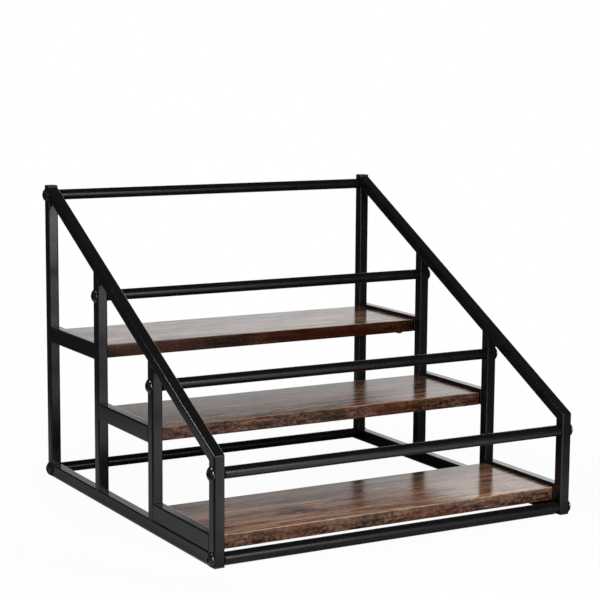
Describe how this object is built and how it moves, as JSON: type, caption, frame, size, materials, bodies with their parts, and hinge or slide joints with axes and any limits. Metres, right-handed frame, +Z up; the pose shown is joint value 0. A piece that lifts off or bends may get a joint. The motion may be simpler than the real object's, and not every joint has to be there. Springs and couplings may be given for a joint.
{
  "type": "syrup bottle rack",
  "caption": "Stepped rack with wooden boards in tiers between black steel side frames, with guard bars in front of each row of bottles.",
  "frame": {"origin": "middle of the footprint on the surface that the rack stands on", "axes": "+Z up, +Y to the tall rear, +X to the right of someone facing the front"},
  "size_m": [0.3672, 0.3624, 0.2844],
  "materials": {
    "powder_coated_steel": "satin black powder coat",
    "satin_black_bar": "satin black coat, slightly smoother than the frames",
    "black_bolt_steel": "black oxide",
    "zinc_plated_steel": "zinc plated",
    "rustic_wood": "rustic dark brown grain, satin sealed",
    "black_plastic": "matte black"
  },
  "bodies": {
    "root": {"left_rear_post": "powder_coated_steel", "left_front_post": "powder_coated_steel", "left_sloped_rail": "powder_coated_steel", "left_bottom_rail": "powder_coated_steel", "left_upper_upright": "powder_coated_steel", "left_middle_upright": "powder_coated_steel", "left_upper_shelf_rail": "powder_coated_steel", "left_middle_shelf_rail": "powder_coated_steel", "left_lower_shelf_rail": "powder_coated_steel", "right_rear_post": "powder_coated_steel", "right_front_post": "powder_coated_steel", "right_sloped_rail": "powder_coated_steel", "right_bottom_rail": "powder_coated_steel", "right_upper_upright": "powder_coated_steel", "right_middle_upright": "powder_coated_steel", "right_upper_shelf_rail": "powder_coated_steel", "right_middle_shelf_rail": "powder_coated_steel", "right_lower_shelf_rail": "powder_coated_steel", "top_rear_bar": "satin_black_bar", "rear_bottom_bar": "satin_black_bar", "front_bottom_bar": "satin_black_bar", "upper_guard_bar": "satin_black_bar", "middle_guard_bar": "satin_black_bar", "lower_guard_bar": "satin_black_bar", "upper_board": "rustic_wood", "middle_board": "rustic_wood", "lower_board": "rustic_wood", "left_top_rear_bar_bolt": "black_bolt_steel", "right_top_rear_bar_bolt": "black_bolt_steel", "left_rear_bottom_bar_bolt": "black_bolt_steel", "right_rear_bottom_bar_bolt": "black_bolt_steel", "left_front_bottom_bar_bolt": "black_bolt_steel", "right_front_bottom_bar_bolt": "black_bolt_steel", "left_upper_guard_bar_bolt": "black_bolt_steel", "right_upper_guard_bar_bolt": "black_bolt_steel", "left_middle_guard_bar_bolt": "black_bolt_steel", "right_middle_guard_bar_bolt": "black_bolt_steel", "left_lower_guard_bar_bolt": "black_bolt_steel", "right_lower_guard_bar_bolt": "black_bolt_steel", "upper_board_left_front_screw": "zinc_plated_steel", "upper_board_left_rear_screw": "zinc_plated_steel", "upper_board_right_front_screw": "zinc_plated_steel", "upper_board_right_rear_screw": "zinc_plated_steel", "middle_board_left_front_screw": "zinc_plated_steel", "middle_board_left_rear_screw": "zinc_plated_steel", "middle_board_right_front_screw": "zinc_plated_steel", "middle_board_right_rear_screw": "zinc_plated_steel", "lower_board_left_front_screw": "zinc_plated_steel", "lower_board_left_rear_screw": "zinc_plated_steel", "lower_board_right_front_screw": "zinc_plated_steel", "lower_board_right_rear_screw": "zinc_plated_steel", "left_rear_post_cap": "black_plastic", "left_rear_foot": "black_plastic", "left_front_foot": "black_plastic", "right_rear_post_cap": "black_plastic", "right_rear_foot": "black_plastic", "right_front_foot": "black_plastic"}
  },
  "joints": []
}
